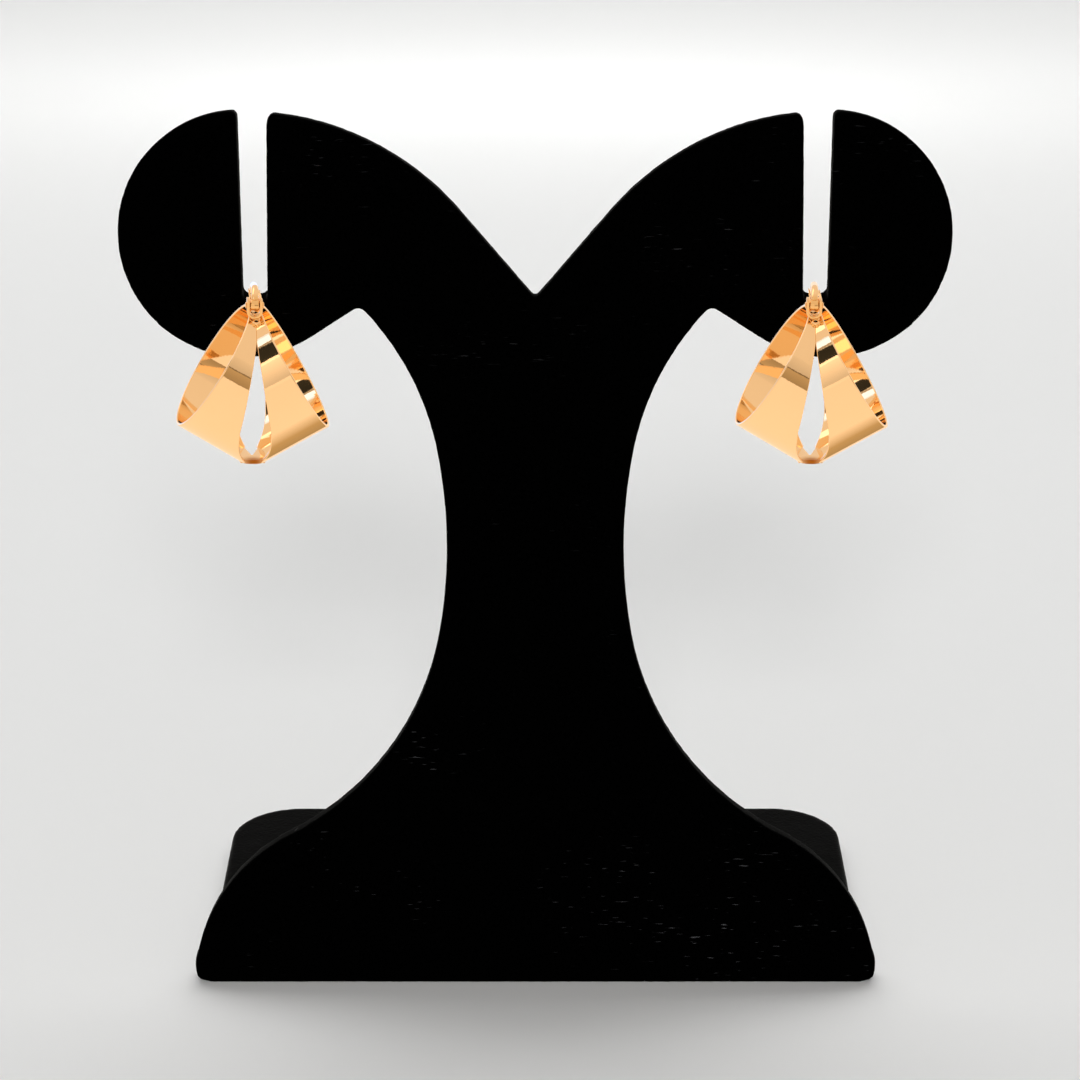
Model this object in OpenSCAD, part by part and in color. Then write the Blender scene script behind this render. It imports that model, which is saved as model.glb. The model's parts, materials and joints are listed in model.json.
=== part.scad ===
// A pair of ribbon hoop earrings on a plain upright display stand.
// X runs across the stand, Y from its front to its back, Z up from the surface it stands on.

/* [Stand] */
// Thickness of the upright board and of its front skirt
board_t = 3.4; // [2.5:0.1:4]
// Angle by which the upright leans back, in degrees
board_lean = 9; // [6:0.5:11]
// Half width of the upright at its foot
foot_half = 46; // [45:0.5:48]
// Half width of the upright at its waist
waist_half = 11.7; // [9:0.1:13]
// Height of the waist, measured up the board
waist_up = 57.6; // [55:0.5:60]
// Height of the bottom of the notch between the arms, up the board
notch_up = 90.4; // [89.6:0.1:92]

/* [Lobes] */
// Distance of each lobe's centre from the middle
lobe_out = 37.9; // [37:0.1:39]
// Height of each lobe's centre, up the board
lobe_up = 98.6; // [98:0.1:100]
// Radius of each lobe
lobe_r = 16; // [15.5:0.1:16.5]
// Distance of each slot's middle line from the middle
slot_out = 36.3; // [36:0.1:36.6]
// Width of each slot at its mouth
slot_mouth_w = 3.8; // [3.3:0.1:4.2]
// Width of each slot at its floor
slot_floor_w = 3.1; // [2.9:0.1:3.2]

/* [Base] */
// Width of the base plate
base_w = 89; // [84:0.5:91]
// Depth of the stand on the surface, from front to back
base_d = 47; // [44:0.5:60]
// Thickness of the base plate, and height of the skirt in front of it
base_t = 3.3; // [3:0.1:4]
// Radius of the two far corners of the base plate
base_corner_r = 9.5; // [4:0.5:12]

/* [Hoops] */
// Outer radius of each ribbon where it is rolled round
hoop_r = 8.9; // [8.5:0.1:8.9]
// Angle by which each ribbon's roll is tipped towards the middle, in degrees
band_tilt = 31; // [30:0.5:32]
// Distance from the hoop's centre to the rim of each ribbon, along its roll
rim_out = 6.05; // [5.9:0.05:6.2]
// Thickness of the metal sheet
sheet_t = 0.4; // [0.35:0.05:0.45]
// Width of the leaf-shaped slit between the ribbons
slit_w = 3.9; // [3:0.1:4.2]

/* [Closure] */
// Diameter of the ear wire
wire_d = 0.9; // [0.8:0.05:0.9]
// Radius of the hinge pin
pin_r = 0.28; // [0.25:0.01:0.3]
// Length of the ear wire's end that hangs down behind the board
tail_drop = 2.6; // [1.5:0.1:3.5]

/* [Hidden] */
$fn = 96;
eps = 0.01;
far = 60;

// Sides, as signs along X
left = -1;
right = 1;

// Colours
flock_black = "#101012";
gold = "#e6b877";

// Outline of the upright, in the board's own plane: across, and up from the foot
lobe_c = [lobe_out, lobe_up];
cusp = [23.1, 89.1];
arm_r = 36.5;
arm_c = [37.4, 77.9];
notch = [0, notch_up];
slot_floor_back = 91;
slot_floor_front = 89.4;
slot_top = 120;
mouth_round_r = 1.1;

// Waist of the upright: a long flat arc with a tighter arc above it and below it
waist_r = 68;
waist_span = 12.6;
waist_turn = asin(waist_span / waist_r);
neck_r_up = 37.6;
neck_r_down = 38.9;
waist_c = [waist_half + waist_r, waist_up];
flare_angle = 61.1;

// Short straight between the neck's lower arc and the foot's arc: its length, and how far it
// lies inside each of them
flare_run = 1.6;
flare_lift = 0.02;

// How far the skirt stands out past each end of the foot, and its rounded lower corners
skirt_out = 0.2;
skirt_corner_r = 1.6;

// Gap between pieces that rest against each other
seat_gap = 0.1;

// Where each hoop hangs, measured from the middle of the stand's front edge
hoop_out_left = 35.8;
hoop_out_right = 35.2;
hoop_back = 3.35;
hoop_up = 84.05;
hoop_turn_left = 7.4;
hoop_turn_right = -2.65;
hoop_tip_left = 3.1;
hoop_tip_right = 0;

// The whole is moved so that the middle of its footprint is the origin
turn_share = cos(band_tilt + hoop_tip_left) * sin(hoop_turn_left);
hoop_reach = hoop_r * sqrt(1 - turn_share * turn_share) + rim_out * turn_share;
front_y = hoop_back - hoop_reach;
middle_y = (front_y + base_d) / 2;

// Heights along the slit, from its upper tip to its foot, measured from the hoop's centre
slit_tip_up = 7.8;
slit_wide_up = -3.35;
slit_wide_down = -5.3;
slit_foot_down = -9.84;

// Solder plate at the bottom: its height and front edge, how far it laps onto the ribbons, and
// the notch in its back edge
solder_down = -9.3;
solder_front = -2.4;
solder_half_w = 1.55;
solder_lap = 0.12;
notch_front = -0.2;
notch_back = 2.7;
notch_tip = 0.08;
side_stations = [-1.4, -0.5, 0.5, 1.4, 2.1, notch_back];

// Closure, in each hoop's own frame: across, from front to back, and up from its centre
clasp_x = -0.2;
gap_front = -2;
gap_back = 2.9;
pin_at = [clasp_x, -2.5, 11.75];
catch_y = 3.4;
wire_r = wire_d / 2;
run_gap = 0.05;
ear_gap = 0.07;
eye_w = 1.1;
eye_r = 0.68;
bracket_r = 0.98;
bracket_wall = 0.36;
bracket_d = 1.4;
bracket_up = 12.5;
bracket_base = pin_at[2] - 1.65;

// Route of the ear wire in its own plane, measured from the pin: the arch's centre, and the
// point above the slot's back edge that the straight run aims at
arch_c = [2.3, -1.15];
arch_r = norm(arch_c);
tail_end = [16.75, -2.42];
tail_bend_r = 0.9;

// The wire is bent a little sideways, so that it meets the slot
wire_turn = 2.2;

// Shoulder on the right of the wire: its first and last angle round the arch, how far out its
// middle line lies, and its radius at either end
shoulder_from = 118;
shoulder_to = 98;
shoulder_out = 0.22;
shoulder_low_r = 0.42;
shoulder_top_r = 0.28;

// The point where a line from p touches a circle of centre c and radius r
function touch(p, c, r, side) =
    let (d = norm(c - p), a = side * asin(r / d), u = (c - p) / d, reach = sqrt(d * d - r * r))
    p + reach * [u[0] * cos(a) - u[1] * sin(a), u[0] * sin(a) + u[1] * cos(a)];

// Centres of the neck's arcs, and the two ends of the flare's straight
neck_down_c = waist_c - (waist_r - neck_r_down) * [cos(waist_turn), sin(waist_turn)];
neck_up_c = waist_c - (waist_r - neck_r_up) * [cos(waist_turn), -sin(waist_turn)];
flare_out = [cos(flare_angle), sin(flare_angle)];
flare_along = [sin(flare_angle), -cos(flare_angle)];
flare_from = neck_down_c - (neck_r_down - flare_lift) * flare_out;
flare_to = flare_from + flare_run * flare_along;

// The foot's arc, which runs on from the straight and ends at the foot's corner
foot_top = flare_to + flare_lift * flare_out;
foot_drop = [foot_half, 0] - foot_top;
foot_r = -(foot_drop * foot_drop) / (2 * foot_drop * flare_out);
foot_c = foot_top - foot_r * flare_out;

// One half of the arm: under the curve that falls from the lobe to the notch
module half_arm() {
    lobe_touch = touch(cusp, lobe_c, lobe_r, left);
    arm_touch = touch(notch, arm_c, arm_r, right);
    intersection() {
        translate(arm_c) circle(r = arm_r);
        polygon([cusp, lobe_touch, lobe_c, [lobe_c[0], slot_top], [arm_touch[0], slot_top], arm_touch]);
    }
    polygon([arm_touch, notch, [0, cusp[1] - 2], cusp]);
}

// One half of the neck and the foot: the neck is hollowed by three arcs that run into each
// other, and the foot is trimmed to its own arc
module half_neck() {
    ground = flare_from + flare_from[1] / cos(flare_angle) * flare_along;
    difference() {
        polygon([[0, cusp[1]], cusp, flare_from, ground, [0, 0]]);
        intersection() {
            translate(waist_c) circle(r = waist_r);
            translate([0, waist_up - waist_span]) square([far, 2 * waist_span]);
        }
        translate(neck_up_c) circle(r = neck_r_up);
        translate(neck_down_c) circle(r = neck_r_down);
        translate(foot_c) rotate([0, 0, flare_angle - 90]) difference() {
            translate([0, -far]) square([far, 2 * far]);
            circle(r = foot_r);
        }
    }
}

// What is cut away to round a corner whose material lies on the given side
module corner_waste(p, r, side) {
    translate([p[0] - side * r, p[1] - r]) difference() {
        translate([side > 0 ? 0 : -r - 1, 0]) square([r + 1, r + 1]);
        circle(r = r);
    }
}

// One slot, open at the top and a little wider there, with rounded corners at its mouth
module slot_cut() {
    mouth_up = arm_c[1] + arm_r;
    polygon([
        [slot_out - slot_floor_w / 2, slot_floor_back],
        [slot_out - slot_mouth_w / 2, mouth_up],
        [slot_out - slot_mouth_w / 2, slot_top],
        [slot_out + slot_mouth_w / 2, slot_top],
        [slot_out + slot_mouth_w / 2, mouth_up],
        [slot_out + slot_floor_w / 2, slot_floor_back]
    ]);
    corner_waste([slot_out - slot_mouth_w / 2, mouth_up - 0.1], mouth_round_r, right);
    corner_waste([slot_out + slot_mouth_w / 2, mouth_up + 0.5], mouth_round_r, left);
}

// Half of the upright's outline
module half_outline() {
    difference() {
        union() {
            translate(lobe_c) circle(r = lobe_r);
            half_arm();
            half_neck();
        }
        slot_cut();
        translate([-far, -far]) square([far, 3 * far]);
        translate([0, -far]) square([far, far]);
    }
}

// The slot's floor is bevelled, so that it falls towards the front
module floor_bevel(side) {
    translate([side * slot_out - slot_floor_w / 2, 0, 0]) rotate([90, 0, 90])
        linear_extrude(slot_floor_w) polygon([
            [slot_floor_back, -board_t],
            [slot_floor_back + eps, eps],
            [slot_floor_front, eps]
        ]);
}

// Upright board with two slotted lobes, and the skirt that closes the base plate's front
module stand_upright() {
    color(flock_black) translate([0, -middle_y, 0]) {
        translate([0, 0, base_t]) rotate([90 - board_lean, 0, 0]) difference() {
            translate([0, 0, -board_t]) linear_extrude(board_t) {
                half_outline();
                mirror([1, 0]) half_outline();
            }
            floor_bevel(left);
            floor_bevel(right);
        }
        translate([0, board_t, 0]) rotate([90, 0, 0]) linear_extrude(board_t) skirt_face();
    }
}

// Front face of the skirt: level at the top, with rounded corners at the surface
module skirt_face() {
    half_w = foot_half + skirt_out;
    flat_half = half_w - skirt_corner_r;
    translate([-flat_half, 0]) square([2 * flat_half, base_t]);
    translate([-half_w, skirt_corner_r]) square([2 * half_w, base_t - skirt_corner_r]);
    for (side = [left, right])
        translate([side * flat_half, skirt_corner_r]) circle(r = skirt_corner_r);
}

// Flat base plate behind the skirt, with its two far corners rounded
module stand_base() {
    front = board_t + 1.5 * seat_gap;
    half_w = base_w / 2;
    color(flock_black) translate([0, -middle_y, 0]) linear_extrude(base_t) {
        translate([-half_w, front]) square([base_w, base_d - base_corner_r - front]);
        translate([-half_w + base_corner_r, front])
            square([base_w - 2 * base_corner_r, base_d - front]);
        for (side = [left, right])
            translate([side * (half_w - base_corner_r), base_d - base_corner_r])
                circle(r = base_corner_r);
    }
}

// Puts a hoop's own frame where the hoop hangs on its side of the stand
module hang(side) {
    out = side == left ? hoop_out_left : hoop_out_right;
    turn = side == left ? hoop_turn_left : hoop_turn_right;
    tip = side == left ? hoop_tip_left : hoop_tip_right;
    translate([side * out, hoop_back - middle_y, hoop_up])
        rotate([0, 0, turn]) rotate([0, tip, 0]) children();
}

// One ribbon: a tube tipped towards the middle, kept on its own side of the hoop
module ribbon(side) {
    intersection() {
        rotate([0, side * (90 - band_tilt), 0]) difference() {
            translate([0, 0, -hoop_r]) cylinder(r = hoop_r, h = hoop_r + rim_out);
            translate([0, 0, -hoop_r - 1]) cylinder(r = hoop_r - sheet_t, h = 3 * hoop_r);
        }
        translate([side > 0 ? 0 : -far, -far / 2, -far / 2]) cube(far);
    }
}

// Front view of the slit: a long wedge from its upper tip, closed below by a leaf of two arcs
module slit_wedge() {
    half_w = slit_w / 2;
    polygon([[0, slit_tip_up], [half_w, slit_wide_up], [half_w, slit_wide_down + 0.3],
             [-half_w, slit_wide_down + 0.3], [-half_w, slit_wide_up]]);
}

module slit_leaf() {
    half_w = slit_w / 2;
    arc_drop = slit_wide_down - slit_foot_down;
    arc_r = (half_w * half_w + arc_drop * arc_drop) / slit_w;
    intersection() {
        translate([arc_r - half_w, slit_wide_down]) circle(r = arc_r);
        translate([half_w - arc_r, slit_wide_down]) circle(r = arc_r);
    }
}

// Half the width of the opening that the cut ribbons leave at the bottom, at a distance from
// front to back
function cut_half(y) =
    (sqrt(hoop_r * hoop_r - y * y) + solder_down * cos(band_tilt)) / sin(band_tilt);

// Flat plate that closes the bottom, with a narrow notch that the slit runs out into
module solder_plate() {
    side = [for (y = side_stations) [cut_half(y) + solder_lap, y]];
    half = concat([[solder_half_w, solder_front]], side,
                  [[cut_half(notch_back) - solder_lap, notch_back], [notch_tip, notch_front]]);
    translate([0, 0, solder_down]) linear_extrude(sheet_t)
        polygon(concat(half, [for (i = [len(half) - 1 : -1 : 0]) [-half[i][0], half[i][1]]]));
}

// The two ribbons soldered at the bottom, with the slit between them and the gap for the ear
module ribbons() {
    difference() {
        union() {
            ribbon(left);
            ribbon(right);
        }
        translate([0, far / 2, 0]) rotate([90, 0, 0]) linear_extrude(far) slit_wedge();
        translate([0, far / 2, 0]) rotate([90, 0, 0]) linear_extrude(far) slit_leaf();
        translate([-far / 2, gap_front, 8.5]) cube([far, gap_back - gap_front, far]);
        translate([-far / 2, -far / 2, solder_down - far]) cube(far);
        translate([-far / 2, solder_front - far, solder_down + sheet_t - far]) cube(far);
    }
    solder_plate();
}

// Hinge bracket: a small stirrup open to the front and the back, with a bore in each ear
module bracket() {
    bore_r = pin_r + run_gap / 2;
    difference() {
        translate([clasp_x, pin_at[1] + bracket_d / 2, 0]) rotate([90, 0, 0])
            linear_extrude(bracket_d) difference() {
                union() {
                    translate([0, bracket_base + bracket_r]) circle(r = bracket_r);
                    translate([-bracket_r, bracket_base + bracket_r])
                        square([2 * bracket_r, bracket_up - bracket_base - bracket_r]);
                }
                translate([0, bracket_base + bracket_r]) circle(r = bracket_r - bracket_wall);
                translate([bracket_wall - bracket_r, bracket_base + bracket_r])
                    square([2 * (bracket_r - bracket_wall), far]);
            }
        translate(pin_at - [far / 2, 0, 0]) rotate([0, 90, 0]) cylinder(r = bore_r, h = far);
    }
    foot_w = 1.5;
    translate([clasp_x - foot_w / 2, pin_at[1] - 0.5, bracket_base - 0.6])
        cube([foot_w, 1, 0.75]);
}

// Small round boss with a blind hole, in front of the bracket
module end_boss() {
    boss_r = 0.5;
    boss_h = 0.8;
    translate([0, -3.25, 9.3]) rotate([24, 0, 0]) difference() {
        cylinder(r = boss_r, h = boss_h);
        translate([0, 0, boss_h - 0.4]) cylinder(r = 0.2, h = 1);
    }
}

// Catch: a plate with a leaning prong and a short prong, which takes the closed wire between them
module catch() {
    catch_x = clasp_x + (catch_y - pin_at[1]) * tan(wire_turn);
    half_w = 0.95;
    plate_d = 0.8;
    plate_base = 9.2;
    mouth_floor = 10.9;
    short_x = wire_r + 0.12;
    short_top = 11.9;
    lean_top = 12.05;
    translate([catch_x, catch_y + plate_d / 2, 0]) rotate([90, 0, 0])
        linear_extrude(plate_d) polygon([
            [-half_w, plate_base],
            [half_w, plate_base],
            [half_w, mouth_floor],
            [short_x + 0.12, short_top],
            [short_x, short_top],
            [short_x, mouth_floor],
            [-0.28, mouth_floor],
            [-0.63, lean_top],
            [-0.79, lean_top],
            [-0.62, mouth_floor],
            [-half_w, mouth_floor]
        ]);
}

// One hoop: ribbons, bracket, boss and catch soldered into one piece
module hoop(side) {
    color(gold) hang(side) {
        ribbons();
        bracket();
        end_boss();
        catch();
    }
}

// Hinge pin, with a riveted head outside each ear of the bracket
module hinge_pin(side) {
    head_r = 0.42;
    head_t = 0.18;
    reach = bracket_r + ear_gap / 2;
    color(gold) hang(side) translate(pin_at) rotate([0, 90, 0]) {
        translate([0, 0, -reach]) cylinder(r = pin_r, h = 2 * reach);
        translate([0, 0, reach - eps]) cylinder(r = head_r, h = head_t);
        translate([0, 0, -reach - head_t + eps]) cylinder(r = head_r, h = head_t);
    }
}

// Bend of the ear wire, about a centre in the wire's own plane, from one angle to another
module bend(c, r, from, to) {
    translate([0, c[0], c[1]]) rotate([90, 0, 90]) rotate([0, 0, from])
        rotate_extrude(angle = to - from) translate([r, 0]) circle(r = wire_r, $fn = 48);
}

// Straight length of the ear wire, from p to q in the wire's own plane; a hair thinner than
// the bends, so that it runs a little way into them
module straight(p, q) {
    d = q - p;
    into = 0.1;
    translate([0, p[0], p[1]]) rotate([-atan2(d[0], d[1]), 0, 0]) translate([0, 0, -into])
        cylinder(r = wire_r - 0.01, h = norm(d) + 2 * into, $fn = 48);
}

// Shoulder of the ear wire: a cone beside the arch, just clear of the bracket's ear
module shoulder() {
    p = arch_c + arch_r * [cos(shoulder_from), sin(shoulder_from)];
    q = arch_c + arch_r * [cos(shoulder_to), sin(shoulder_to)];
    d = q - p;
    translate([shoulder_out, p[0], p[1]]) rotate([-atan2(d[0], d[1]), 0, 0])
        cylinder(r1 = shoulder_low_r, r2 = shoulder_top_r, h = norm(d), $fn = 48);
}

// Ear wire: an eye on the hinge pin, an arch over the ear gap, a straight run through the
// catch and back over the slot's floor, and an end that hangs down behind the board
module ear_wire(side) {
    rise = touch(tail_end, arch_c, arch_r, left);
    fall = (tail_end - rise) / norm(tail_end - rise);
    drop_c = tail_end + tail_bend_r * [fall[1], -fall[0]];
    drop_from = drop_c + [tail_bend_r, 0];
    color(gold) hang(side) translate(pin_at) difference() {
        union() {
            translate([-eye_w / 2, 0, 0]) rotate([0, 90, 0]) cylinder(r = eye_r, h = eye_w);
            rotate([0, 0, -wire_turn]) {
                bend(arch_c, arch_r, atan2(rise[1] - arch_c[1], rise[0] - arch_c[0]),
                     atan2(-arch_c[1], -arch_c[0]));
                shoulder();
                straight(rise, tail_end);
                bend(drop_c, tail_bend_r, 0, 90 + atan2(fall[1], fall[0]));
                straight(drop_from, drop_from - [0, tail_drop]);
            }
        }
        translate([-far / 2, 0, 0]) rotate([0, 90, 0]) cylinder(r = pin_r + run_gap, h = far);
    }
}

stand_upright();
stand_base();
hoop(left);  // hoop_left
hoop(right);  // hoop_right
hinge_pin(left);  // hinge_pin_left
hinge_pin(right);  // hinge_pin_right
ear_wire(left);  // ear_wire_left
ear_wire(right);  // ear_wire_right
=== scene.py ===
"""Looks for a pair of ribbon hoop earrings that hang on a plain upright display stand.

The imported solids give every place. Each hoop is rebuilt here as two rolled ribbons of polished
gold, and the stand as two boards covered with black flock. Lengths in the hoop's own frame are
in millimetres: across, from front to back, and up from the hoop's centre.
"""

import json
import math

import bmesh
import bpy
from mathutils import Matrix, Vector, noise


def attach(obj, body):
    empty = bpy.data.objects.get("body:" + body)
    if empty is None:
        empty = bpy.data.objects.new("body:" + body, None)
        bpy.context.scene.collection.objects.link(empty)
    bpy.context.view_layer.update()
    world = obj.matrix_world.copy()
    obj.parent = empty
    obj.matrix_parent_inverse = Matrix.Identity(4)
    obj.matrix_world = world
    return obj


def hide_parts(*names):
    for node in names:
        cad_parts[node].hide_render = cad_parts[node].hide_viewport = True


MM = 0.001
SIDES = ("left", "right")
STAND_BODY = "stand_and_hoops"

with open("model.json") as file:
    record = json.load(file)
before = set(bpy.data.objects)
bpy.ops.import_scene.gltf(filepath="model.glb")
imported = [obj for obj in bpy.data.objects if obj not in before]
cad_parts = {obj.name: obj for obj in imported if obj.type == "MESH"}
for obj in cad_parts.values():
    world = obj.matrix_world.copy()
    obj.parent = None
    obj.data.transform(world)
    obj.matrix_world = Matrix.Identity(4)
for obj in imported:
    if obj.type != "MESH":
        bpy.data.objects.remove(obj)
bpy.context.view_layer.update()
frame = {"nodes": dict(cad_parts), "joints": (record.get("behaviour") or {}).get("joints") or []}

# Ribbons: outer radius, thickness, rim distance along the roll, and the roll's tip
HOOP_R = 8.9
SHEET_T = 0.4
RIM_OUT = 6.05
BAND_TILT = math.radians(31)
RIM_ROUND = 0.13
SLIT_ROUND = 0.09

# Slit between the ribbons: its half width, and heights from its upper tip to its foot
SLIT_HALF = 1.95
SLIT_TIP = 7.8
SLIT_WIDE_UP = -3.35
SLIT_WIDE_DOWN = -5.3
SLIT_FOOT = -9.84

# Solder plate at the bottom, with its notch, and the gap for the ear at the top
SOLDER_DOWN = -9.3
SOLDER_FRONT = -2.4
SOLDER_HALF = 1.55
SOLDER_LAP = 0.12
NOTCH_FRONT = -0.2
NOTCH_BACK = 2.7
NOTCH_TIP = 0.08
GAP_FRONT = -2.0
GAP_BACK = 2.9

# Closure
CLASP_X = -0.2
PIN_AT = Vector((CLASP_X, -2.5, 11.75))
PIN_R = 0.28
CATCH_Y = 3.4
WIRE_R = 0.45
WIRE_TURN = math.radians(2.2)
ARCH_C = Vector((2.3, -1.15))
TAIL_END = Vector((16.75, -2.42))
TAIL_BEND_R = 0.9
TAIL_DROP = 2.6

# Shoulder on the right of the wire: where it ends at the top and at the bracket and over how much
# it fades there, in degrees round the arch, and how far it stands out
SHOULDER_TOP = 96
SHOULDER_LOW = 118
SHOULDER_FADE = 4
SHOULDER_OUT = 0.2

# Points round a ribbon's roll, and how far from its rounded edges its faces begin
RIBBON_STEPS = 300
FACE_HOLD = 0.04

# Waves of the rolled sheet. Columns: waves to a millimetre, height, and offset of the noise
WAVES = (
    (0.28, 0.010, Vector((0, 0, 0))),
    (0.7, 0.002, Vector((7, 3, 1))),
)

# Rounded edges of the small parts: steps, the angle from which an edge is sharp, and the width
# on the solder plate
BEVEL_STEPS = 3
SHARP_FROM = math.radians(30)
SOLDER_EDGE = 0.1

# Boards. Columns: node, name and sheen of its flock, and offset of its noise
BOARDS = (
    ("stand_upright", "black_flock", 0.045, 3),
    ("stand_base", "black_flock_of_base", 0.2, 11),
)

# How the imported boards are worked, in millimetres: points closer than the weld are joined, and
# the grid is smoothed a number of times. Columns of the nap: width and depth of its waves
WELD = 0.002
BOARD_GRID = 0.425
SOFTEN_SHARE, SOFTEN_TIMES = 0.5, 5
NAP = ((0.9, 0.018), (6, 0.02))

# Camera
LENS = 104.83
SENSOR = 36
CAMERA_AT = Vector((0.00062, -0.395978, 0.212553))
CAMERA_DROP = math.radians(21.5)

# Lamps, which only the stand and the floor see. Columns: name, place, the point it faces, width,
# height and power in watts
LAMPS = (
    ("back_light", (0, 0.56, 1.06), (0, 0, 0.06), 0.9, 0.6, 2.5),
    ("wide_back_light", (0, 0.5, 1.1), (0, 0.1, 0), 1.8, 0.5, 6.7),
    ("key_light", (0, -1.1, 0.8), (0, 0.1, 0), 0.3, 0.22, 5.8),
    ("sweep_light", (0, 0.49, 0.085), (0, 0.49, 0), 0.22, 0.02, 0.026),
    ("wide_sweep_light", (0, 0.5, 0.12), (0, 0.5, 0), 0.5, 0.03, 0.064),
)
WORLD_GLOW = 0.234

# Tints of what the gold reflects: the warm studio, its dim wall, the near black window, and the
# soft boxes that glare in it
STUDIO = (1.08, 0.85, 0.655)
DIM = (1.0, 0.68, 0.37)
SOOT = (1.0, 0.85, 0.6)
GLARE = (1.0, 1.1, 1.4)

# Cards that the gold reflects. Columns: name, distance, azimuth from and to, elevation from and
# to, in degrees from the left hoop, the glow at the foot and at the top, and the tint. The
# near ones are at the distance from which both hoops see them alike
NEAR, AWAY = 0.46, 1.9
CARDS = (
    ("sky", AWAY, -180, 180, -0.5, 90, 0.80, 0.86, STUDIO),
    ("lit_floor", AWAY, -180, 180, -90, -0.5, 1.03, 0.98, STUDIO),
    ("back_left_box", AWAY - 0.05, -158, -108, 32, 58, 1.8, 1.8, STUDIO),
    ("front_left_card", NEAR, -75, 8, -0.5, 3.5, 1.02, 1.06, STUDIO),
    ("right_wall_card", NEAR, 10, 45, -0.3, 13.3, 0.41, 0.56, DIM),
    ("right_wall_top", NEAR, 10, 46, 13.3, 14.6, 0.2, 0.2, DIM),
    ("right_high_card", NEAR, 10, 50, 14.6, 27.5, 0.62, 0.78, STUDIO),
    ("front_wall_card", NEAR, -30, 10, 3.5, 32, 0.69, 1.15, STUDIO),
    ("bright_strip", NEAR, -40, -12, 32, 35.6, 1.5, 1.5, STUDIO),
    ("dark_window", NEAR, -51, -20, 35.6, 51, 0.04, 0.03, SOOT),
    ("window_haze", NEAR, -55, -49.5, 48, 55, 0.4, 0.5, STUDIO),
    ("white_box", NEAR, -72, -54.5, 49.5, 60, 1.35, 1.35, GLARE),
    ("white_box_side", NEAR, -77, -71.5, 51, 60, 1.0, 1.0, GLARE),
    ("low_back_box", AWAY - 0.05, -176, -147, -16, -5, 0.95, 0.95, GLARE),
)

# Dimmer floor that the outer side of each right ribbon reflects: level cards far below both
# hoops, in metres from the left one. Columns: front and back edge, and the glow and the tint at
# each
SHADE_LEFT, SHADE_RIGHT, SHADE_DROP = 0.1, 0.8, 1.0
SHADES = (
    (-0.28, 0.31, 1.03, 0.6, STUDIO, (1.0, 0.67, 0.33)),
    (0.31, 1.1, 0.6, 0.45, (1.0, 0.67, 0.33), (1.0, 0.65, 0.29)),
)


def joint_frame(side):
    """The hoop's own frame, in millimetres, placed by the joint of its ear wire."""
    name = f"ear_wire_{side}_hinge"
    joint = next(j for j in frame["joints"] if j["name"] == name)
    axis = Vector(joint["axis"])
    turn = math.atan2(axis.y, axis.x)
    tip = -math.asin(axis.z)
    place = Matrix.Translation(Vector(joint["pos_m"]))
    spin = Matrix.Rotation(turn, 4, "Z") @ Matrix.Rotation(tip, 4, "Y")
    return place @ spin @ Matrix.Scale(MM, 4) @ Matrix.Translation(-PIN_AT)


def frame_point(side):
    """The middle of a hoop, in metres."""
    return joint_frame(side) @ Vector((0, 0, 0))


# Meshes


def new_piece(name, bm, place=None):
    """A new object from a bmesh, with its faces turned outwards."""
    if place is not None:
        bm.transform(place)
    bmesh.ops.recalc_face_normals(bm, faces=bm.faces)
    mesh = bpy.data.meshes.new(name)
    bm.to_mesh(mesh)
    bm.free()
    mesh.polygons.foreach_set("use_smooth", [True] * len(mesh.polygons))
    obj = bpy.data.objects.new(name, mesh)
    bpy.context.scene.collection.objects.link(obj)
    return obj


def add_strip(bm, rings, closed_ring=True, caps=True, looped=False):
    """Quads between successive rings of points; caps close the first and the last ring."""
    rows = [[bm.verts.new(p) for p in ring] for ring in rings]
    count = len(rows[0])
    pairs = list(zip(rows, rows[1:]))
    if looped:
        pairs.append((rows[-1], rows[0]))
    for a, b in pairs:
        for i in range(count if closed_ring else count - 1):
            j = (i + 1) % count
            bm.faces.new((a[i], a[j], b[j], b[i]))
    if caps and not looped:
        bm.faces.new(rows[0])
        bm.faces.new(rows[-1])


def fillet(corners, radii, steps):
    """A closed outline whose corners are rounded, as a list of points in the plane."""
    points = []
    count = len(corners)
    for i, corner in enumerate(corners):
        back = (corners[i - 1] - corner).normalized()
        ahead = (corners[(i + 1) % count] - corner).normalized()
        half = math.acos(max(-1, min(1, back.dot(ahead)))) / 2
        reach = radii[i] / math.tan(half)
        centre = corner + (back + ahead).normalized() * radii[i] / math.sin(half)
        first = corner + back * reach - centre
        last = corner + ahead * reach - centre
        turn = first.angle_signed(last)
        for k in range(steps + 1):
            share = k / steps
            spoke = first.copy()
            spoke.rotate(Matrix.Rotation(-turn * share, 2))
            points.append(centre + spoke)
    return points


def bevelled(bm, width):
    """Rounds the sharp edges of a part."""
    sharp = [e for e in bm.edges
             if len(e.link_faces) == 2 and e.calc_face_angle(0) > SHARP_FROM]
    bmesh.ops.bevel(bm, geom=sharp, offset=width, segments=BEVEL_STEPS, profile=0.5,
                    affect="EDGES", clamp_overlap=True)


def add_plate(bm, outline, y_from, y_to, edge):
    """An outline in the front plane, given some depth and rounded edges."""
    part = bmesh.new()
    front = [part.verts.new((x, y_from, z)) for x, z in outline]
    back = [part.verts.new((x, y_to, z)) for x, z in outline]
    count = len(outline)
    part.faces.new(front)
    part.faces.new(back)
    for i in range(count):
        j = (i + 1) % count
        part.faces.new((front[i], front[j], back[j], back[i]))
    bmesh.ops.recalc_face_normals(part, faces=part.faces)
    bevelled(part, edge)
    merge(bm, part)


def merge(bm, part):
    """Moves the contents of one bmesh into another."""
    mesh = bpy.data.meshes.new("part")
    part.to_mesh(mesh)
    part.free()
    bm.from_mesh(mesh)
    bpy.data.meshes.remove(mesh)


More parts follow.
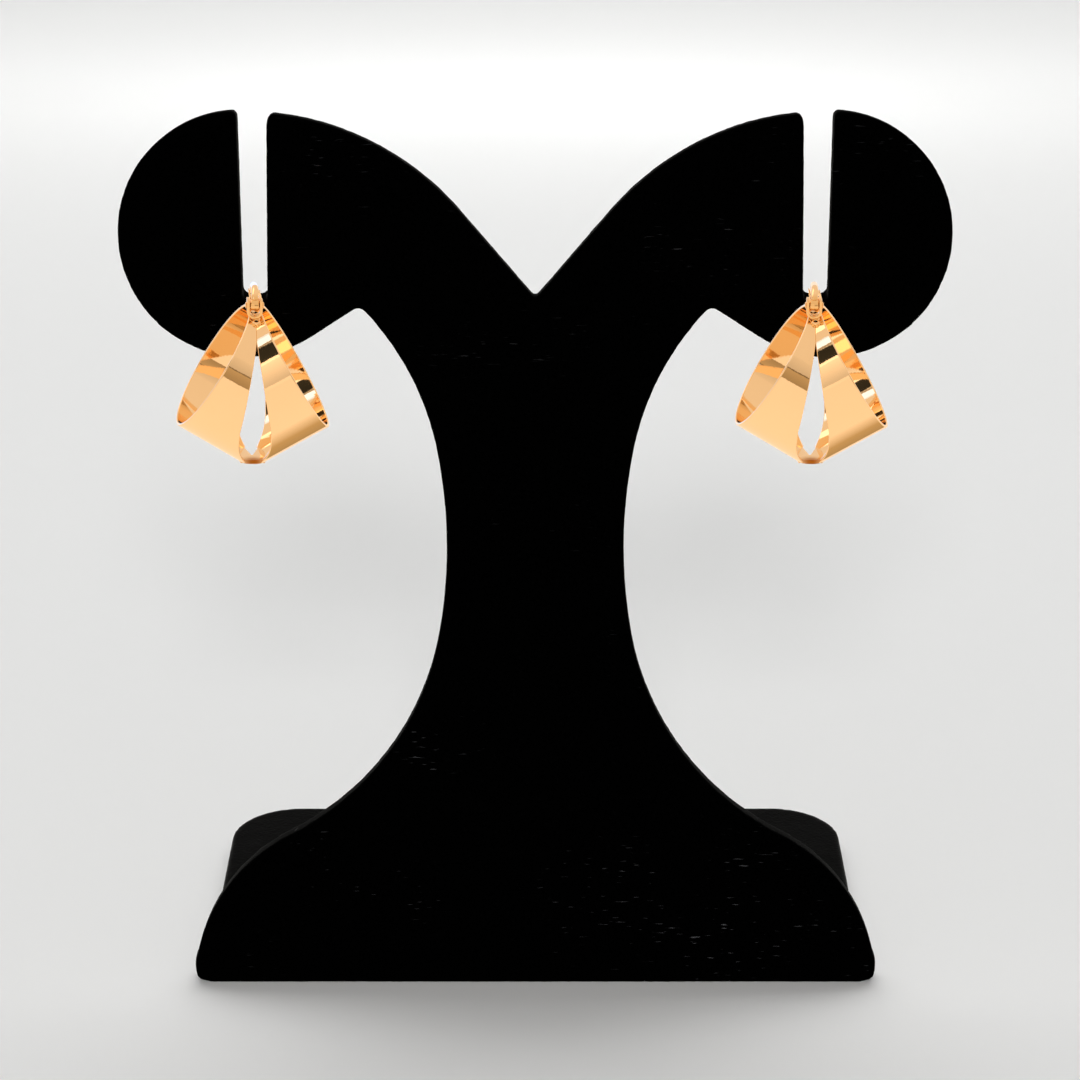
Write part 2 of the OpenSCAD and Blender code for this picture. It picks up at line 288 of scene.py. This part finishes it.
def add_turned(bm, profile, place, steps=40):
    """A profile of (along, radius) points turned about an axis; closed where it meets the axis."""
    rings = []
    for k in range(steps):
        angle = math.tau * k / steps
        rings.append([place @ Vector((a, r * math.cos(angle), r * math.sin(angle)))
                      for a, r in profile])
    add_strip(bm, rings, looped=True)


def add_tube(bm, path, radius, growth):
    """A round wire along a path in one plane, with a round tip at its far end.

    growth says how much further the wire stands out to the right at each point.
    """
    side = Vector((1, 0, 0))
    rings = []
    steps, tip_steps, tip_least = 28, 6, 0.01
    for i, p in enumerate(path):
        ahead = (path[min(i + 1, len(path) - 1)] - path[max(i - 1, 0)]).normalized()
        rings.append((p, ahead, radius, growth[i]))
    end, ahead, _, _ = rings[-1]
    for k in range(1, tip_steps + 1):
        angle = math.pi / 2 * k / tip_steps
        shrunk = max(radius * math.cos(angle), tip_least)
        rings.append((end + ahead * radius * math.sin(angle), ahead, shrunk, 0))
    made = []
    for p, ahead, r, grown in rings:
        up = side.cross(ahead).normalized()
        ring = []
        for k in range(steps):
            across = math.cos(math.tau * k / steps)
            out = r * across + grown * max(across, 0)
            ring.append(p + out * side + r * math.sin(math.tau * k / steps) * up)
        made.append(ring)
    add_strip(bm, made)


# Hoops


def slit_half(z):
    """Half the slit's width at a height: a wedge from the upper tip, and a leaf below."""
    if z >= SLIT_TIP:
        return 0.0
    if z >= SLIT_WIDE_UP:
        return SLIT_HALF * (SLIT_TIP - z) / (SLIT_TIP - SLIT_WIDE_UP)
    if z >= SLIT_WIDE_DOWN:
        return SLIT_HALF
    drop = SLIT_WIDE_DOWN - SLIT_FOOT
    arc_r = (SLIT_HALF**2 + drop**2) / (2 * SLIT_HALF)
    inside = arc_r**2 - (z - SLIT_WIDE_DOWN) ** 2
    return max(0.0, math.sqrt(max(0.0, inside)) - (arc_r - SLIT_HALF))


def ribbon_point(angle, radius, along):
    """A point of the right ribbon's roll."""
    out, up = math.cos(BAND_TILT), math.sin(BAND_TILT)
    c, s = radius * math.cos(angle), radius * math.sin(angle)
    return Vector((c * up + along * out, s, -c * out + along * up))


def ribbon_start(angle, radius):
    """How far along its roll the ribbon begins: at the middle, the slit's edge or the solder."""
    low, high = -RIM_OUT * 2, RIM_OUT
    for _ in range(40):
        mid = (low + high) / 2
        p = ribbon_point(angle, radius, mid)
        floor = SOLDER_DOWN if p.y >= SOLDER_FRONT else SOLDER_DOWN + SHEET_T
        if p.x >= slit_half(p.z) and p.z >= floor:
            high = mid
        else:
            low = mid
    return high


def ribbon_angle(share, radius):
    """Angle round the roll, from the ear gap's front end round the bottom to its back end."""
    first = -(math.pi - math.asin(-GAP_FRONT / radius))
    last = math.pi - math.asin(GAP_BACK / radius)
    return first + (last - first) * share


def ribbon_ring(share):
    """The closed section of the ribbon at one place round its roll."""
    outer, inner = HOOP_R, HOOP_R - SHEET_T
    corners = [
        Vector((0, ribbon_start(ribbon_angle(share, outer), outer))),
        Vector((0, RIM_OUT)),
        Vector((SHEET_T, RIM_OUT)),
        Vector((SHEET_T, ribbon_start(ribbon_angle(share, inner), inner))),
    ]
    radii = (SLIT_ROUND, RIM_ROUND, RIM_ROUND, SLIT_ROUND)
    corner_steps, face_steps = 4, 8
    rounded = fillet(corners, radii, corner_steps)
    section = []
    for i, p in enumerate(rounded):
        section.append(p)
        if i % (corner_steps + 1) == corner_steps and i // (corner_steps + 1) in (0, 2):
            q = rounded[(i + 1) % len(rounded)]
            hold = (q - p).normalized() * FACE_HOLD
            start, stop = p + hold, q - hold
            section += [start.lerp(stop, k / face_steps) for k in range(face_steps + 1)]
    return [ribbon_point(ribbon_angle(share, outer - d), outer - d, v) for d, v in section]


def waved(p):
    """A point of the sheet, moved by its wave of a few thousandths of a millimetre."""
    wave = sum(noise.noise(p * fine + offset) * height for fine, height, offset in WAVES)
    return p * (1 + wave / HOOP_R)


def add_ribbon(bm, sign):
    """One ribbon; the left one is the right one's mirror image."""
    flip = Vector((sign, 1, 1))
    add_strip(bm, [[waved(p) * flip for p in ribbon_ring(k / RIBBON_STEPS)]
                   for k in range(RIBBON_STEPS + 1)])


def box_outline(x0, x1, z0, z1):
    """The corners of an upright box in the front plane."""
    return [(x0, z0), (x1, z0), (x1, z1), (x0, z1)]


def add_bracket(bm):
    """A small stirrup that holds the pin between its two ears, on a short foot."""
    r, wall, depth, top, edge = 0.98, 0.36, 1.4, 12.5, 0.1
    foot_half, foot_depth, foot_low, foot_high, foot_edge = 0.75, 1.0, 0.6, 0.15, 0.08
    base = PIN_AT.z - 1.65
    arc_steps = 20
    arc = [math.pi * (1 + k / arc_steps) for k in range(arc_steps + 1)]
    centre = base + r
    outer = [(CLASP_X + r * math.cos(a), centre + r * math.sin(a)) for a in arc]
    thin = r - wall
    inner = [(CLASP_X + thin * math.cos(a), centre + thin * math.sin(a)) for a in reversed(arc)]
    outline = outer + [(CLASP_X + r, top), (CLASP_X + thin, top)]
    outline += inner + [(CLASP_X - thin, top), (CLASP_X - r, top)]
    add_plate(bm, outline, PIN_AT.y - depth / 2, PIN_AT.y + depth / 2, edge)
    foot = box_outline(CLASP_X - foot_half, CLASP_X + foot_half, base - foot_low,
                       base + foot_high)
    add_plate(bm, foot, PIN_AT.y - foot_depth / 2, PIN_AT.y + foot_depth / 2, foot_edge)


def add_boss(bm):
    """A small round boss with a dimple, in front of the bracket."""
    r, h, lean, foot = 0.5, 0.8, math.radians(24), (0, -3.25, 9.3)
    profile = [(0, 0), (0, r), (h - 0.12, r), (h - 0.04, r - 0.04), (h, r - 0.12), (h, 0.24),
               (h - 0.05, 0.2), (h - 0.4, 0.17), (h - 0.4, 0)]
    tip = Matrix.Rotation(lean, 4, "X") @ Matrix.Rotation(-math.pi / 2, 4, "Y")
    add_turned(bm, profile, Matrix.Translation(foot) @ tip)


def add_catch(bm):
    """A plate with a leaning prong and a short prong, which takes the closed wire."""
    x = CLASP_X + (CATCH_Y - PIN_AT.y) * math.tan(WIRE_TURN)
    half, depth, base, floor, edge = 0.95, 0.8, 9.2, 10.9, 0.05
    short_x, short_top, lean_top = WIRE_R + 0.12, 11.9, 12.05
    outline = [(-half, base), (half, base), (half, floor), (short_x + 0.12, short_top)]
    outline += [(short_x, short_top), (short_x, floor), (-0.28, floor), (-0.63, lean_top)]
    outline += [(-0.79, lean_top), (-0.62, floor), (-half, floor)]
    outline = [(x + across, up) for across, up in outline]
    add_plate(bm, outline, CATCH_Y - depth / 2, CATCH_Y + depth / 2, edge)


def cut_half(y):
    """Half the width of the opening that the cut ribbons leave at the bottom."""
    across = math.sqrt(HOOP_R**2 - y**2) + SOLDER_DOWN * math.cos(BAND_TILT)
    return across / math.sin(BAND_TILT)


def add_solder(bm):
    """The plate that joins the ribbons at the bottom; the slit runs out into its notch."""
    half = [(SOLDER_HALF, SOLDER_FRONT)]
    half += [(cut_half(y) + SOLDER_LAP, y) for y in (-1.4, -0.5, 0.5, 1.4, 2.1, NOTCH_BACK)]
    half += [(cut_half(NOTCH_BACK) - SOLDER_LAP, NOTCH_BACK), (NOTCH_TIP, NOTCH_FRONT)]
    outline = half + [(-x, y) for x, y in reversed(half)]
    part = bmesh.new()
    levels = (SOLDER_DOWN, SOLDER_DOWN + SHEET_T)
    add_strip(part, [[(x, y, z) for x, y in outline] for z in levels])
    bmesh.ops.recalc_face_normals(part, faces=part.faces)
    bevelled(part, SOLDER_EDGE)
    merge(bm, part)
    add_bead(bm)


def add_bead(bm):
    """The bead of solder along the plate's front edge, thinning out up both ribbons."""
    half, deep, tall, rise = 1.95, 0.36, 0.27, 0.42
    set_back, lift, thinnest = 0.12, 0.16, 0.03
    steps, around = 36, 24
    angles = [math.tau * k / around for k in range(around)]
    rings = []
    for i in range(steps + 1):
        share = -1 + 2 * i / steps
        full = max(thinnest, (1 - share**4) ** 0.5)
        up = SOLDER_DOWN + lift + rise * abs(share) ** 3
        centre = Vector((half * share, SOLDER_FRONT + set_back, up))
        rings.append([centre + full * Vector((0, deep * math.cos(a), tall * math.sin(a)))
                      for a in angles])
    add_strip(bm, rings)


def make_hoop(side, gold):
    """A hoop: its two ribbons, the solder, the bracket, the boss and the catch."""
    bm = bmesh.new()
    add_ribbon(bm, 1)
    add_ribbon(bm, -1)
    add_solder(bm)
    add_bracket(bm)
    add_boss(bm)
    add_catch(bm)
    hoop = new_piece(f"hoop_{side}_gold", bm, joint_frame(side))
    finish_piece(hoop, STAND_BODY, "gold", gold, f"hoop_{side}")


# Closures


def touch(p, c, r, side):
    """The point where a line from p touches a circle of centre c and radius r."""
    reach = (c - p).length
    angle = side * math.asin(r / reach)
    along = (c - p).normalized()
    turned = Vector((along.x * math.cos(angle) - along.y * math.sin(angle),
                     along.x * math.sin(angle) + along.y * math.cos(angle)))
    return p + math.sqrt(reach**2 - r**2) * turned


def arc_points(c, r, start, stop, steps):
    """Points of an arc, without its first one."""
    angles = [start + (stop - start) * k / steps for k in range(1, steps + 1)]
    return [c + r * Vector((math.cos(a), math.sin(a))) for a in angles]


def wire_path():
    """The ear wire's middle line in its own plane, from the pin to its hanging end."""
    r = ARCH_C.length
    arch_steps, slope_steps, bend_steps, drop_steps = 40, 24, 14, 6
    rise = touch(TAIL_END, ARCH_C, r, -1)
    fall = (TAIL_END - rise).normalized()
    start = math.atan2(-ARCH_C.y, -ARCH_C.x)
    stop = math.atan2(rise.y - ARCH_C.y, rise.x - ARCH_C.x)
    line = [Vector((0, 0))] + arc_points(ARCH_C, r, start, stop, arch_steps)
    line += [rise.lerp(TAIL_END, k / slope_steps) for k in range(1, slope_steps + 1)]
    bend_c = TAIL_END + TAIL_BEND_R * Vector((fall.y, -fall.x))
    bend_from = math.pi / 2 + math.atan2(fall.y, fall.x)
    line += arc_points(bend_c, TAIL_BEND_R, bend_from, 0, bend_steps)
    down = TAIL_DROP - WIRE_R
    line += [line[-1] + Vector((0, -down * k / drop_steps)) for k in range(1, drop_steps + 1)]
    return line


def ease(share):
    """A smooth step from 0 to 1."""
    share = max(0.0, min(1.0, share))
    return share * share * (3 - 2 * share)


def shoulder(p):
    """How far the wire's shoulder stands out at a point of the wire's middle line."""
    angle = math.degrees(math.atan2(p.y - ARCH_C.y, p.x - ARCH_C.x))
    grown = ease((angle - SHOULDER_TOP) / (SHOULDER_LOW - SHOULDER_TOP))
    return SHOULDER_OUT * grown * ease((SHOULDER_LOW + SHOULDER_FADE - angle) / SHOULDER_FADE)


def make_ear_wire(side, gold):
    """Ear wire: an eye on the pin and a wire that arches over to the catch and the slot."""
    bm = bmesh.new()
    eye_w, eye_r, bore_r, lap = 1.1, 0.68, PIN_R + 0.05, 0.2
    bore_edge, eye_edge, edge_steps = 0.05, 0.16, 4
    corners = [Vector(c) for c in ((-eye_w / 2, bore_r), (eye_w / 2, bore_r), (eye_w / 2, eye_r),
                                   (-eye_w / 2, eye_r))]
    section = fillet(corners, (bore_edge, bore_edge, eye_edge, eye_edge), edge_steps)
    add_turned(bm, section, Matrix.Translation(PIN_AT))
    turn = Matrix.Translation(PIN_AT) @ Matrix.Rotation(-WIRE_TURN, 4, "Z")
    line = [p for p in wire_path() if p.length > eye_r - lap]
    wire = bmesh.new()
    add_tube(wire, [Vector((0, y, z)) for y, z in line], WIRE_R, [shoulder(p) for p in line])
    wire.transform(turn)
    merge(bm, wire)
    piece = new_piece(f"ear_wire_{side}_gold", bm, joint_frame(side))
    finish_piece(piece, f"ear_wire_{side}", "gold", gold, f"ear_wire_{side}")


def make_pin(side, gold):
    """Hinge pin with a low domed head at each end."""
    bm = bmesh.new()
    head_r, head_t, reach, dome_steps = 0.42, 0.18, 1.015, 6
    half = [(0, PIN_R), (reach, PIN_R), (reach, head_r - 0.02), (reach + 0.02, head_r)]
    for k in range(1, dome_steps):
        angle = math.pi / 2 * k / dome_steps
        half.append((reach + 0.04 + (head_t - 0.05) * math.sin(angle), head_r * math.cos(angle)))
    half.append((reach + head_t - 0.01, 0))
    profile = [(-a, r) for a, r in reversed(half)] + half[1:]
    add_turned(bm, profile, Matrix.Translation(PIN_AT), steps=32)
    piece = new_piece(f"hinge_pin_{side}_gold", bm, joint_frame(side))
    finish_piece(piece, STAND_BODY, "gold", gold, f"hinge_pin_{side}")


# Stand


def make_board(node, flock, seed):
    """A board with softened edges and a skin of flock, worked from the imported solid."""
    bm = bmesh.new()
    bm.from_mesh(frame["nodes"][node].data)
    bmesh.ops.remove_doubles(bm, verts=bm.verts, dist=WELD * MM)
    plain = new_piece(node + "_plain", bm)
    remesh = plain.modifiers.new("remesh", "REMESH")
    remesh.mode = "VOXEL"
    remesh.voxel_size = BOARD_GRID * MM
    soften = plain.modifiers.new("soften", "SMOOTH")
    soften.factor = SOFTEN_SHARE
    soften.iterations = SOFTEN_TIMES
    graph = bpy.context.evaluated_depsgraph_get()
    mesh = bpy.data.meshes.new_from_object(plain.evaluated_get(graph))
    bpy.data.objects.remove(plain)
    normals = [v.normal.copy() for v in mesh.vertices]
    offset = Vector((seed, 0, 0))
    for v, n in zip(mesh.vertices, normals):
        depth = sum(deep * (1 - noise.noise(v.co / (wide * MM) + offset)) for wide, deep in NAP)
        v.co -= n * depth * MM
        v.co.z = max(v.co.z, 0)
    mesh.polygons.foreach_set("use_smooth", [True] * len(mesh.polygons))
    board = bpy.data.objects.new(node + "_flock", mesh)
    bpy.context.scene.collection.objects.link(board)
    finish_piece(board, STAND_BODY, "flock", flock, node)
    board.visible_glossy = False


def finish_piece(obj, body, slot, material, *replaced):
    """Gives a piece its material and its body, and hides the imported solids that it stands for."""
    obj.data.materials.clear()
    obj.data.materials.append(material)
    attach(obj, body)
    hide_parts(*replaced)


# Materials


# Spots of other tones on each hoop: the closure painted a deeper gold as painted shade among its
# small parts, painted amber shade in the recess inside its bracket, painted dark shade in the
# dimple of the boss, and a dark brown spot on the solder's front. Columns: middle, distance up to
# which the spot is full and from which it is gone, in metres, and base colour
SPOTS = (
    (Vector((CLASP_X, -2.6, 11.4)), 0.0012, 0.002, (0.9, 0.6, 0.27)),
    (Vector((CLASP_X, -2.6, 10.9)), 0.0004, 0.0007, (0.62, 0.28, 0.05)),
    (Vector((0, -3.45, 9.76)), 0.00027, 0.00036, (0.03, 0.02, 0.01)),
    (Vector((0.1, SOLDER_FRONT - 0.1, SOLDER_DOWN + 0.1)), 0.0002, 0.0021, (0.42, 0.15, 0.015)),
)


def new_material(name):
    """A material with nodes, with its shader and a helper that adds a node."""
    material = bpy.data.materials.new(name)
    material.use_nodes = True
    tree = material.node_tree
    shader = next(n for n in tree.nodes if n.type == "BSDF_PRINCIPLED")

    def add(kind, links=(), **values):
        node = tree.nodes.new(kind)
        for key, value in values.items():
            if key in node.inputs:
                node.inputs[key].default_value = value
            else:
                setattr(node, key, value)
        for source, target in links:
            tree.links.new(source, node.inputs[target])
        return node

    return material, tree, shader, add


def spot(place, add, centre, full, gone):
    """Where a spot of each hoop is: 1 up to one distance from its middle, 0 from the other."""
    reach = []
    for side in SIDES:
        apart = add("ShaderNodeVectorMath", [(place.outputs["Object"], 0)], operation="DISTANCE")
        apart.inputs[1].default_value = joint_frame(side) @ centre
        reach.append(apart.outputs["Value"])
    nearest = add("ShaderNodeMath", [(reach[0], 0), (reach[1], 1)], operation="MINIMUM")
    share = add("ShaderNodeMapRange", [(nearest.outputs[0], "Value")],
                **{"From Min": full, "From Max": gone, "To Min": 1, "To Max": 0})
    share.interpolation_type = "SMOOTHSTEP"
    return share.outputs["Result"]


# Gold: its two tones, its least and most roughness, and how fine the cloud that mixes them and
# the grain are
GOLD_TONES = ((0.985, 0.73, 0.425, 1), (1.0, 0.755, 0.455, 1))
GOLD_HAZE = (0.025, 0.06)
GOLD_CLOUD, GOLD_GRAIN = 260, 4000


def make_gold():
    """Polished gold: a faint haze, a hair of grain, spots of painted shade on the closure, and a
    dark spot on the solder.
    """
    material, tree, shader, add = new_material("polished_gold")
    shader.inputs["Metallic"].default_value = 1
    place = add("ShaderNodeTexCoord")
    cloud = add("ShaderNodeTexNoise", [(place.outputs["Object"], "Vector")],
                Scale=GOLD_CLOUD, Detail=3)
    tone = add("ShaderNodeValToRGB", [(cloud.outputs["Fac"], "Fac")])
    tone.color_ramp.elements[0].color = GOLD_TONES[0]
    tone.color_ramp.elements[1].color = GOLD_TONES[1]
    colour = tone.outputs["Color"]
    # Mixes in the spots: painted shade on the closure, in its bracket and in the boss's dimple, and
    # the dark spot on the solder
    for centre, full, gone, tint in SPOTS:
        blend = add("ShaderNodeMix", data_type="RGBA")
        tree.links.new(spot(place, add, centre, full, gone), blend.inputs["Factor"])
        tree.links.new(colour, blend.inputs["A"])
        blend.inputs["B"].default_value = (*tint, 1)
        colour = blend.outputs["Result"]
    tree.links.new(colour, shader.inputs["Base Color"])
    haze = add("ShaderNodeMapRange", [(cloud.outputs["Fac"], "Value")],
               **{"To Min": GOLD_HAZE[0], "To Max": GOLD_HAZE[1]})
    tree.links.new(haze.outputs["Result"], shader.inputs["Roughness"])
    grain = add("ShaderNodeTexNoise", [(place.outputs["Object"], "Vector")],
                Scale=GOLD_GRAIN, Detail=2)
    bump = add("ShaderNodeBump", [(grain.outputs["Fac"], "Height")],
               Strength=0.07, Distance=0.02 * MM)
    tree.links.new(bump.outputs["Normal"], shader.inputs["Normal"])
    return material


# Flock: how fine its pile is, its tones, each with the pile's noise at which it is reached, and
# its sheen's roughness and tint
PILE = 2600
FLOCK_TONES = ((0.35, 0.0001), (0.75, 0.0006))
SHEEN_ROUGHNESS, SHEEN_TINT = 0.35, (0.95, 0.94, 0.9, 1)

# Lint: its tone, how fine its specks are across, in depth and upwards, the noise from which the
# specks begin and are full, the same for the patches that hold them, and the heights in metres
# between which it thins out
LINT_TONE = (0.09, 0.09, 0.095, 1)
LINT_FINE = (480, 480, 5200)
LINT_SPECKS, LINT_PATCHES = (0.72, 0.8), (0.53, 0.66)
LINT_HEIGHTS, LINT_ABOVE = (0.02, 0.05), 0.25


def make_flock(name, sheen):
    """Black flock: no gloss, a faint sheen at grazing angles, and a little lint."""
    material, tree, shader, add = new_material(name)
    shader.inputs["Roughness"].default_value = 1
    shader.inputs["Specular IOR Level"].default_value = 0
    shader.inputs["Sheen Weight"].default_value = sheen
    shader.inputs["Sheen Roughness"].default_value = SHEEN_ROUGHNESS
    shader.inputs["Sheen Tint"].default_value = SHEEN_TINT
    place = add("ShaderNodeTexCoord")
    pile = add("ShaderNodeTexNoise", [(place.outputs["Object"], "Vector")], Scale=PILE, Detail=3)
    tone = add("ShaderNodeValToRGB", [(pile.outputs["Fac"], "Fac")])
    for i, (position, grey) in enumerate(FLOCK_TONES):
        tone.color_ramp.elements[i].position = position
        tone.color_ramp.elements[i].color = (grey, grey, grey, 1)
    blend = add("ShaderNodeMix", data_type="RGBA")
    tree.links.new(lint(place, add), blend.inputs["Factor"])
    tree.links.new(tone.outputs["Color"], blend.inputs["A"])
    blend.inputs["B"].default_value = LINT_TONE
    tree.links.new(blend.outputs["Result"], shader.inputs["Base Color"])
    bump = add("ShaderNodeBump", [(pile.outputs["Fac"], "Height")], Strength=0.6, Distance=0.0001)
    tree.links.new(bump.outputs["Normal"], shader.inputs["Normal"])
    return material


def lint(place, add):
    """Short level specks of lint, in patches, most of them low on the stand."""
    stretched = add("ShaderNodeVectorMath", [(place.outputs["Object"], 0)], operation="MULTIPLY")
    stretched.inputs[1].default_value = LINT_FINE
    grain = add("ShaderNodeTexNoise", [(stretched.outputs[0], "Vector")], Scale=1, Detail=1)
    speck = add("ShaderNodeMapRange", [(grain.outputs["Fac"], "Value")],
                **{"From Min": LINT_SPECKS[0], "From Max": LINT_SPECKS[1]})
    cloud = add("ShaderNodeTexNoise", [(place.outputs["Object"], "Vector")], Scale=55, Detail=1)
    patch = add("ShaderNodeMapRange", [(cloud.outputs["Fac"], "Value")],
                **{"From Min": LINT_PATCHES[0], "From Max": LINT_PATCHES[1]})
    split = add("ShaderNodeSeparateXYZ", [(place.outputs["Object"], "Vector")])
    low = add("ShaderNodeMapRange", [(split.outputs["Z"], "Value")],
              **{"From Min": LINT_HEIGHTS[0], "From Max": LINT_HEIGHTS[1], "To Min": 1,
                 "To Max": LINT_ABOVE})
    here = add("ShaderNodeMath", [(patch.outputs[0], 0), (low.outputs[0], 1)], operation="MULTIPLY")
    found = add("ShaderNodeMath", [(speck.outputs[0], 0), (here.outputs[0], 1)],
                operation="MULTIPLY")
    return found.outputs[0]


# Surroundings


FLOOR_TONES = ((0.83, 0.83, 0.825, 1), (0.85, 0.85, 0.845, 1))


def make_floor():
    """A plain pale sweep, rising far behind the stand; the gold sees cards in its place."""
    bm = bmesh.new()
    half, front, back, rise_r, top = 2.5, -2.5, 0.8, 0.3, 1.6
    line = [(front, 0.0), (back, 0.0)]
    steps = 16
    for k in range(1, steps + 1):
        angle = math.pi / 2 * k / steps
        line.append((back + rise_r * math.sin(angle), rise_r * (1 - math.cos(angle))))
    line.append((back + rise_r, top))
    rings = [[(-half, y, z), (half, y, z)] for y, z in line]
    add_strip(bm, rings, closed_ring=False, caps=False)
    floor = new_piece("floor", bm)
    if floor.data.polygons[0].normal.z < 0:
        floor.data.flip_normals()
    material, tree, shader, add = new_material("pale_floor")
    shader.inputs["Specular IOR Level"].default_value = 0
    place = add("ShaderNodeTexCoord")
    cloud = add("ShaderNodeTexNoise", [(place.outputs["Object"], "Vector")], Scale=6, Detail=2)
    tone = add("ShaderNodeValToRGB", [(cloud.outputs["Fac"], "Fac")])
    tone.color_ramp.elements[0].color = FLOOR_TONES[0]
    tone.color_ramp.elements[1].color = FLOOR_TONES[1]
    tree.links.new(tone.outputs["Color"], shader.inputs["Base Color"])
    shader.inputs["Roughness"].default_value = 0.5
    floor.data.materials.append(material)
    floor.visible_glossy = False


def direction(azimuth, elevation):
    """Unit vector from the hoops; azimuth 0 is towards the camera, and 90 to its right."""
    a, e = math.radians(azimuth), math.radians(elevation)
    return Vector((math.sin(a) * math.cos(e), -math.cos(a) * math.cos(e), math.sin(e)))


def add_lamp(name, place, target, width, height, power):
    """A soft box that lights the stand and the floor, but doesn't show in the picture."""
    light = bpy.data.lights.new(name, "AREA")
    light.shape = "RECTANGLE"
    light.size, light.size_y, light.energy = width, height, power
    lamp = bpy.data.objects.new(name, light)
    bpy.context.scene.collection.objects.link(lamp)
    lamp.location = place
    lamp.rotation_mode = "QUATERNION"
    lamp.rotation_quaternion = (place - target).to_track_quat("Z", "Y")
    lamp.visible_camera = False
    lamp.visible_glossy = False


def glow_material(name, low, high):
    """A plain glow that runs from one colour to another over the card's height."""
    material = bpy.data.materials.new(name)
    material.use_nodes = True
    tree = material.node_tree
    tree.nodes.clear()
    place = tree.nodes.new("ShaderNodeUVMap")
    place.uv_map = "shade"
    split = tree.nodes.new("ShaderNodeSeparateXYZ")
    tree.links.new(place.outputs["UV"], split.inputs["Vector"])
    blend = tree.nodes.new("ShaderNodeMix")
    blend.data_type = "RGBA"
    blend.inputs["A"].default_value = (*low, 1)
    blend.inputs["B"].default_value = (*high, 1)
    tree.links.new(split.outputs["Y"], blend.inputs["Factor"])
    emission = tree.nodes.new("ShaderNodeEmission")
    tree.links.new(blend.outputs["Result"], emission.inputs["Color"])
    output = tree.nodes.new("ShaderNodeOutputMaterial")
    tree.links.new(emission.outputs[0], output.inputs["Surface"])
    return material


def add_glow_strip(name, rings, low, high):
    """A card from rings of points, each running from its foot to its top."""
    bm = bmesh.new()
    add_strip(bm, rings, closed_ring=False, caps=False)
    shade = bm.loops.layers.uv.new("shade")
    bm.verts.index_update()
    rows = len(rings[0])
    for face in bm.faces:
        for loop in face.loops:
            loop[shade].uv = (0.5, loop.vert.index % rows / (rows - 1))
    card = new_piece(name, bm)
    card.data.materials.append(glow_material(name, low, high))
    card.visible_camera = False
    card.visible_diffuse = False
    card.visible_shadow = False


def glowing(glow, tint):
    """The colour of a card of this glow and tint."""
    return tuple(glow * part for part in tint)


def add_card(name, distance, azimuths, elevations, glows, tint):
    """A card round the set, over a range of azimuth and elevation; far ones have more steps."""
    centre = frame_point("left")
    steps = 12 if distance == NEAR else 48
    rings = []
    for i in range(steps + 1):
        azimuth = azimuths[0] + (azimuths[1] - azimuths[0]) * i / steps
        ring = []
        for k in range(steps + 1):
            elevation = elevations[0] + (elevations[1] - elevations[0]) * k / steps
            ring.append(centre + distance * direction(azimuth, elevation))
        rings.append(ring)
    add_glow_strip(name, rings, glowing(glows[0], tint), glowing(glows[1], tint))


def add_shades():
    """The dimmer floor to the right of the hoops, as their right ribbons see it."""
    centre = frame_point("left")
    for i, (front, back, front_glow, back_glow, front_tint, back_tint) in enumerate(SHADES):
        rings = [[centre + Vector((x, y, -SHADE_DROP)) for y in (front, back)]
                 for x in (SHADE_LEFT, SHADE_RIGHT)]
        add_glow_strip(f"shade_{i}", rings, glowing(front_glow, front_tint),
                       glowing(back_glow, back_tint))


def make_lights():
    """The pale world, the lamps for the stand and the floor, and the cards for the gold."""
    world = bpy.data.worlds.new("studio")
    world.use_nodes = True
    background = world.node_tree.nodes["Background"]
    background.inputs["Color"].default_value = (1.0, 1.0, 0.99, 1)
    background.inputs["Strength"].default_value = WORLD_GLOW
    bpy.context.scene.world = world
    for name, place, target, width, height, power in LAMPS:
        add_lamp(name, Vector(place), Vector(target), width, height, power)
    for name, distance, from_az, to_az, from_el, to_el, low_glow, high_glow, tint in CARDS:
        add_card(name, distance, (from_az, to_az), (from_el, to_el), (low_glow, high_glow), tint)
    add_shades()


def make_camera():
    """The camera at the photo's angle, square to the stand."""
    data = bpy.data.cameras.new("camera")
    data.lens = LENS
    data.sensor_width = SENSOR
    data.clip_start = 0.01
    camera = bpy.data.objects.new("camera", data)
    camera.location = CAMERA_AT
    camera.rotation_euler = (math.pi / 2 - CAMERA_DROP, 0, 0)
    bpy.context.scene.collection.objects.link(camera)
    bpy.context.scene.camera = camera


def main():
    gold = make_gold()
    for side in SIDES:
        make_hoop(side, gold)
        make_pin(side, gold)
        make_ear_wire(side, gold)
    for node, flock, sheen, seed in BOARDS:
        make_board(node, make_flock(flock, sheen), seed)
    make_floor()
    make_lights()
    make_camera()
    bpy.context.scene.view_settings.view_transform = "Standard"


main()
